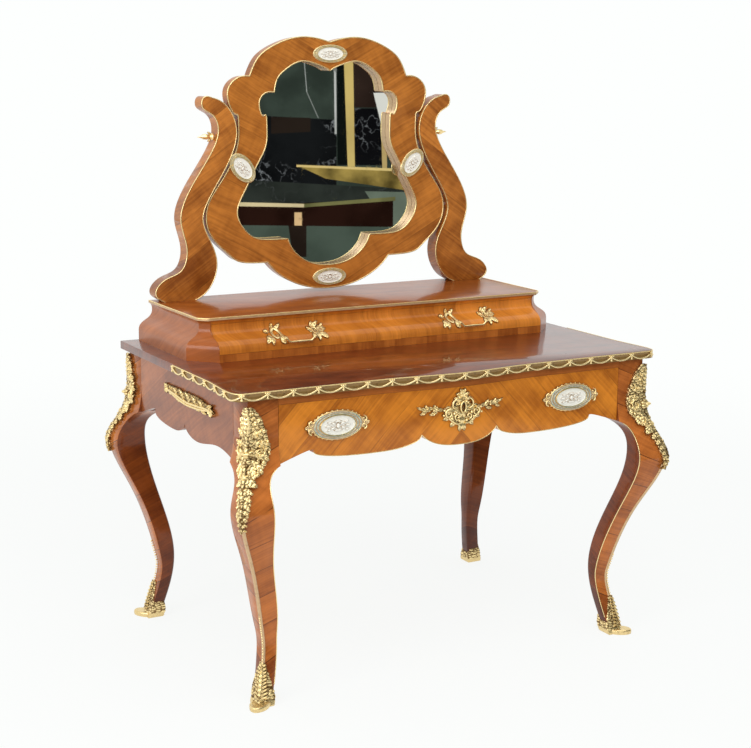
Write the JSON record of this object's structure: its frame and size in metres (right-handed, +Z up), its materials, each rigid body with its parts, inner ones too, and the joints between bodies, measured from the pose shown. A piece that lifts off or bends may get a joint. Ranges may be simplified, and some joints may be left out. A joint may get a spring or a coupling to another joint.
{
  "type": "dressing table",
  "caption": "Cabriole-leg dressing table with gilt mounts, a bowed frieze drawer, an ogee case of small drawers and a scalloped toilet mirror swinging between scrolled standards.",
  "frame": {"origin": "on the floor, under the middle of the whole object's box", "axes": "+X to the right of a person facing the front, +Y to the back, +Z up; the front with the drawers faces -Y"},
  "size_m": [1.1822, 0.8332, 1.499],
  "materials": {
    "veneer": "polished veneer",
    "lining": "plain waxed oak",
    "gilt_bronze": "chased and gilt",
    "lock": "filed iron",
    "porcelain": "biscuit and glaze",
    "looking_glass": "silvered"
  },
  "bodies": {
    "table": {"table_top": "veneer", "top_edge_moulding": "gilt_bronze", "apron_back": "veneer", "front_top_rail": "veneer", "leg_front_right": "veneer", "leg_front_left": "veneer", "leg_back_right": "veneer", "leg_back_left": "veneer", "chute_front_right": "gilt_bronze", "chute_front_left": "gilt_bronze", "chute_back_right": "gilt_bronze", "chute_back_left": "gilt_bronze", "sabot_front_right": "gilt_bronze", "sabot_front_left": "gilt_bronze", "sabot_back_right": "gilt_bronze", "sabot_back_left": "gilt_bronze", "apron_right": "veneer", "apron_left": "veneer", "drawer_runner_right": "lining", "drawer_runner_left": "lining", "side_mount_right": "gilt_bronze", "side_mount_left": "gilt_bronze", "case_board": "veneer", "case_back": "lining", "case_plinth": "veneer", "case_floor": "lining", "case_rail": "veneer", "case_divider": "veneer", "case_end_right": "veneer", "case_end_left": "veneer", "standard_right": "veneer", "standard_left": "veneer"},
    "main_drawer": {"drawer_front": "veneer", "drawer_back": "lining", "drawer_bottom": "lining", "drawer_lock": "lock", "drawer_escutcheon": "gilt_bronze", "drawer_side_right": "lining", "drawer_side_left": "lining", "medallion_frame_right": "gilt_bronze", "medallion_frame_left": "gilt_bronze", "medallion_plaque_right": "porcelain", "medallion_plaque_left": "porcelain"},
    "small_drawer_right": {"small_drawer_front_right": "veneer", "small_drawer_tray_right": "lining", "handle_plate_right": "gilt_bronze"},
    "small_drawer_left": {"small_drawer_front_left": "veneer", "small_drawer_tray_left": "lining", "handle_plate_left": "gilt_bronze"},
    "bail_right": {"bail_right": "gilt_bronze"},
    "bail_left": {"bail_left": "gilt_bronze"},
    "mirror": {"mirror_frame": "veneer", "mirror_glass": "looking_glass", "mirror_backboard": "lining", "medal_top": "gilt_bronze", "medal_bottom": "gilt_bronze", "medal_right": "gilt_bronze", "medal_left": "gilt_bronze"},
    "pivot_screw_right": {"pivot_screw_right": "gilt_bronze"},
    "pivot_screw_left": {"pivot_screw_left": "gilt_bronze"}
  },
  "joints": [
    {"name": "main_drawer_slide", "type": "slide", "parent": "table", "child": "main_drawer", "axis": [0, -1, 0], "range_m": [0, 0.4]},
    {"name": "small_drawer_right_slide", "type": "slide", "parent": "table", "child": "small_drawer_right", "axis": [0, -1, 0], "range_m": [0, 0.2]},
    {"name": "small_drawer_left_slide", "type": "slide", "parent": "table", "child": "small_drawer_left", "axis": [0, -1, 0], "range_m": [0, 0.2]},
    {"name": "bail_right_swing", "type": "hinge", "parent": "small_drawer_right", "child": "bail_right", "pos_m": [0.249, -0.036, 0.785], "axis": [-1, 0, 0], "range_deg": [-10, 85]},
    {"name": "bail_left_swing", "type": "hinge", "parent": "small_drawer_left", "child": "bail_left", "pos_m": [-0.249, -0.036, 0.785], "axis": [-1, 0, 0], "range_deg": [-10, 85]},
    {"name": "mirror_tilt", "type": "hinge", "parent": "table", "child": "mirror", "pos_m": [0, 0.307, 1.25], "axis": [1, 0, 0], "range_deg": [-25, 20]},
    {"name": "pivot_screw_right_turn", "type": "hinge", "parent": "table", "child": "pivot_screw_right", "pos_m": [0.3, 0.307, 1.25], "axis": [1, 0, 0], "range_deg": [-180, 180]},
    {"name": "pivot_screw_left_turn", "type": "hinge", "parent": "table", "child": "pivot_screw_left", "pos_m": [-0.3, 0.307, 1.25], "axis": [-1, 0, 0], "range_deg": [-180, 180]}
  ]
}
